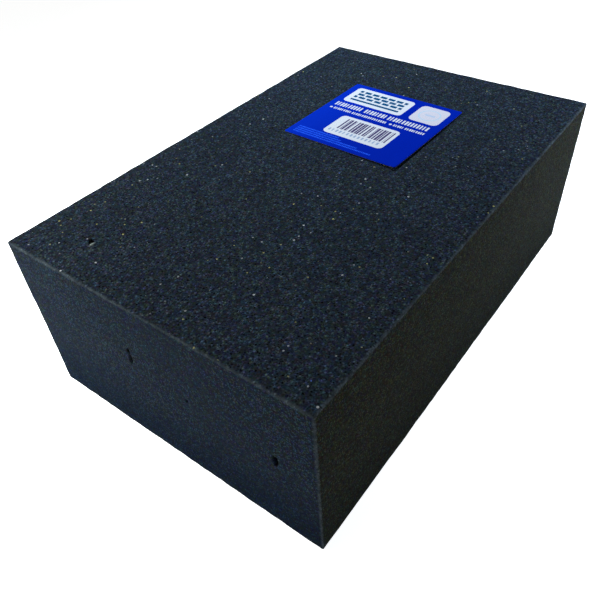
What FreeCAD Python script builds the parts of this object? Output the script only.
import FreeCAD, Part
import Sketcher
import os

# A block of cut open-cell foam with a printed self-adhesive label on its top face.
# The origin is the centre of the block's bottom face. +X runs along the block's long
# side, +Y across it, and +Z points up. Lengths are in millimetres.
#
# foam_block      the sponge itself, one solid block with edges that relax to a small radius
# label_adhesive  the glue film between the foam and the label's face sheet
# label           the printed face sheet, which lies on the glue film

# Alias, value and meaning of each driving dimension.
DIMENSIONS = [
    ("block_length", 170.0, "foam block along X"),
    ("block_width", 110.0, "foam block along Y"),
    ("block_height", 60.0, "foam block along Z"),
    ("block_edge_radius", 0.8, "radius that the cut foam edges relax to"),
    ("label_side", 46.0, "each side of the square label"),
    ("label_corner_radius", 0.5, "die-cut corners of the label"),
    ("label_centre_x", 32.1, "label centre from the block's centre, along X"),
    ("label_centre_y", 3.5, "label centre from the block's centre, along Y"),
    ("label_turn", -1.4, "degrees that the label was stuck on out of line, about Z"),
    ("glue_thickness", 0.05, "glue film"),
    ("face_thickness", 0.12, "printed face sheet"),
]
SHEET = "dimensions"
OUTPUT_FOLDER = "parts"


def add_dimensions(doc):
    """Put each driving dimension in a row of the sheet: its meaning, then its value."""
    sheet = doc.addObject("Spreadsheet::Sheet", SHEET)
    for row, (alias, value, meaning) in enumerate(DIMENSIONS, start=1):
        sheet.set(f"A{row}", meaning)
        sheet.set(f"B{row}", str(value))
        sheet.setAlias(f"B{row}", alias)
    doc.recompute()


def origin_plane(body, role):
    """The body's own base plane with that role, such as XY_Plane."""
    return next(plane for plane in body.Origin.OriginFeatures if plane.Role == role)


def centred_rectangle(body, name, length_alias, width_alias):
    """A sketch on the body's XY plane of a rectangle centred on the body's origin."""
    sketch = body.newObject("Sketcher::SketchObject", name)
    sketch.AttachmentSupport = (origin_plane(body, "XY_Plane"), "")
    sketch.MapMode = "FlatFace"

    # Four sides in order, each starting where the one before it ends.
    corners = [(-1, -1), (1, -1), (1, 1), (-1, 1)]
    points = [FreeCAD.Vector(x, y, 0) for x, y in corners]
    for start, end in zip(points, points[1:] + points[:1]):
        sketch.addGeometry(Part.LineSegment(start, end), False)

    start_point, end_point, origin = 1, 2, -1
    for side in range(4):
        following = (side + 1) % 4
        sketch.addConstraint(
            Sketcher.Constraint("Coincident", side, end_point, following, start_point)
        )
    for side in (0, 2):
        sketch.addConstraint(Sketcher.Constraint("Horizontal", side))
    for side in (1, 3):
        sketch.addConstraint(Sketcher.Constraint("Vertical", side))
    sketch.addConstraint(
        Sketcher.Constraint("Symmetric", 0, start_point, 2, start_point, origin, start_point)
    )

    sizes = [("DistanceX", 0, "along_x", length_alias), ("DistanceY", 1, "along_y", width_alias)]
    for kind, side, constraint_name, alias in sizes:
        index = sketch.addConstraint(
            Sketcher.Constraint(kind, side, start_point, side, end_point, 2.0)
        )
        sketch.renameConstraint(index, constraint_name)
        sketch.setExpression(f"Constraints.{constraint_name}", f"{SHEET}.{alias}")
    return sketch


def padded_rectangle(doc, label, length_alias, width_alias, height_alias):
    """A body of its own that holds one rectangular pad standing on the body's XY plane."""
    body = doc.addObject("PartDesign::Body", label)
    body.Label = label
    sketch = centred_rectangle(body, f"{label}_outline", length_alias, width_alias)
    pad = body.newObject("PartDesign::Pad", f"{label}_pad")
    pad.Profile = sketch
    pad.setExpression("Length", f"{SHEET}.{height_alias}")
    sketch.Visibility = False
    doc.recompute()
    return body, pad


def round_edges(body, pad, radius_alias, wanted):
    """Fillet each edge of the pad that wanted() accepts."""
    names = [f"Edge{i}" for i, edge in enumerate(pad.Shape.Edges, start=1) if wanted(edge)]
    fillet = body.newObject("PartDesign::Fillet", f"{body.Label}_rounding")
    fillet.Base = (pad, names)
    fillet.setExpression("Radius", f"{SHEET}.{radius_alias}")
    body.Tip = fillet


def is_upright(edge):
    start, end = (vertex.Point for vertex in edge.Vertexes)
    return abs((end - start).normalize().z) > 0.99


def build_foam_block(doc):
    """The foam block, with all its twelve edges rounded alike."""
    body, pad = padded_rectangle(
        doc, "foam_block", "block_length", "block_width", "block_height"
    )
    round_edges(body, pad, "block_edge_radius", lambda edge: True)
    return body


def build_label_layer(doc, label, thickness_alias, base_height):
    """One layer of the label, over the label's place on the block's top face."""
    body, pad = padded_rectangle(doc, label, "label_side", "label_side", thickness_alias)
    round_edges(body, pad, "label_corner_radius", is_upright)
    body.setExpression("Placement.Base.x", f"{SHEET}.label_centre_x")
    body.setExpression("Placement.Base.y", f"{SHEET}.label_centre_y")
    body.setExpression("Placement.Base.z", base_height)
    body.setExpression("Placement.Rotation.Angle", f"{SHEET}.label_turn")
    return body


def build_label_adhesive(doc):
    """The glue film, directly on the foam."""
    return build_label_layer(doc, "label_adhesive", "glue_thickness", f"{SHEET}.block_height")


def build_label(doc):
    """The printed face sheet, on the glue film."""
    base_height = f"{SHEET}.block_height + {SHEET}.glue_thickness"
    return build_label_layer(doc, "label", "face_thickness", base_height)


def check(doc, bodies):
    """Stop on any object that failed to recompute and on any unusable shape."""
    for item in doc.Objects:
        if {"Invalid", "Error"} & set(item.State):
            raise RuntimeError(f"{item.Name} failed: {item.State}")
    for body in bodies:
        shape = body.Shape
        if shape.isNull() or not shape.isValid() or len(shape.Solids) != 1:
            raise RuntimeError(f"{body.Label} isn't one valid solid")


def export(bodies):
    os.makedirs(OUTPUT_FOLDER, exist_ok=True)
    for body in bodies:
        body.Shape.exportStep(f"{OUTPUT_FOLDER}/{body.Label}.step")
        box = body.Shape.BoundBox
        print(
            f"{body.Label}: {box.XLength:.2f} x {box.YLength:.2f} x {box.ZLength:.2f},"
            f" z {box.ZMin:.2f} to {box.ZMax:.2f}, volume {body.Shape.Volume:.1f}"
        )


doc = FreeCAD.newDocument("foam_sponge_block")
add_dimensions(doc)
sub_parts = [build_foam_block(doc), build_label_adhesive(doc), build_label(doc)]
doc.recompute()
check(doc, sub_parts)
export(sub_parts)
